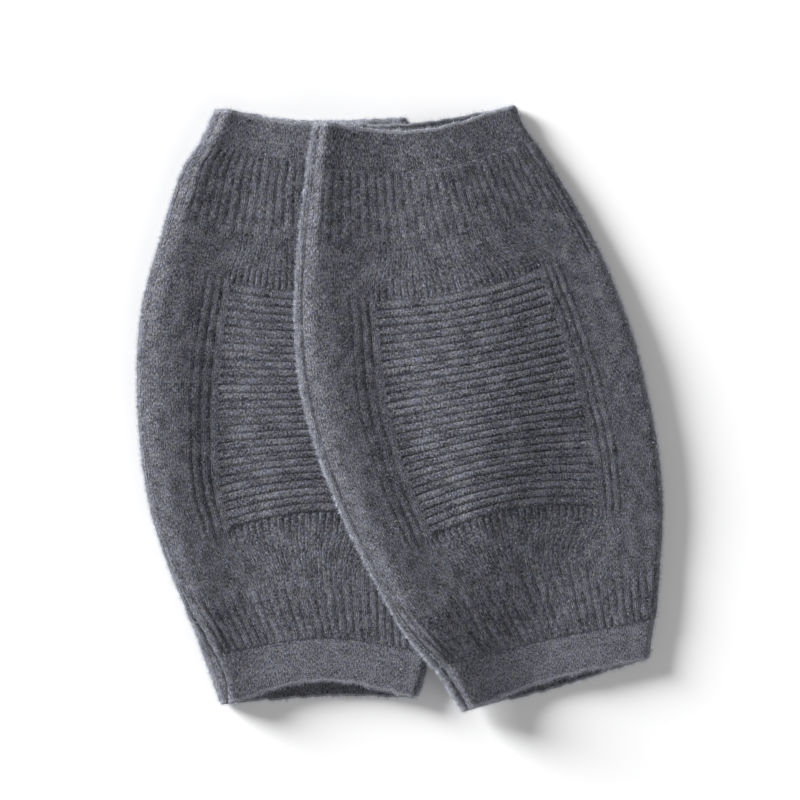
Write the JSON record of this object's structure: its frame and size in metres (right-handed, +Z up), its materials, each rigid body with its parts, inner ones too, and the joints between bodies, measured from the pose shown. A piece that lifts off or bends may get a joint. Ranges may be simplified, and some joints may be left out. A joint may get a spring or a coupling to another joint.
{
  "type": "knee warmers",
  "caption": "Pair of ribbed knit knee warmers with ridged knee panels and smooth bands, laid flat with one partly over the other.",
  "frame": {"origin": "middle of the bounding box in plan, on the surface that the pair lies on", "axes": "+Y towards the warmers' top edges, +X from the under warmer to the over warmer, +Z up from the surface"},
  "size_m": [0.2866, 0.3302, 0.0211],
  "materials": {
    "knit": "heather grey brushed wool knit",
    "band": "heather grey smooth double wool knit"
  },
  "bodies": {
    "root": {"under_front": "knit", "under_back": "knit", "under_top_band": "band", "under_bottom_band": "band", "over_front": "knit", "over_back": "knit", "over_top_band": "band", "over_bottom_band": "band"}
  },
  "joints": []
}
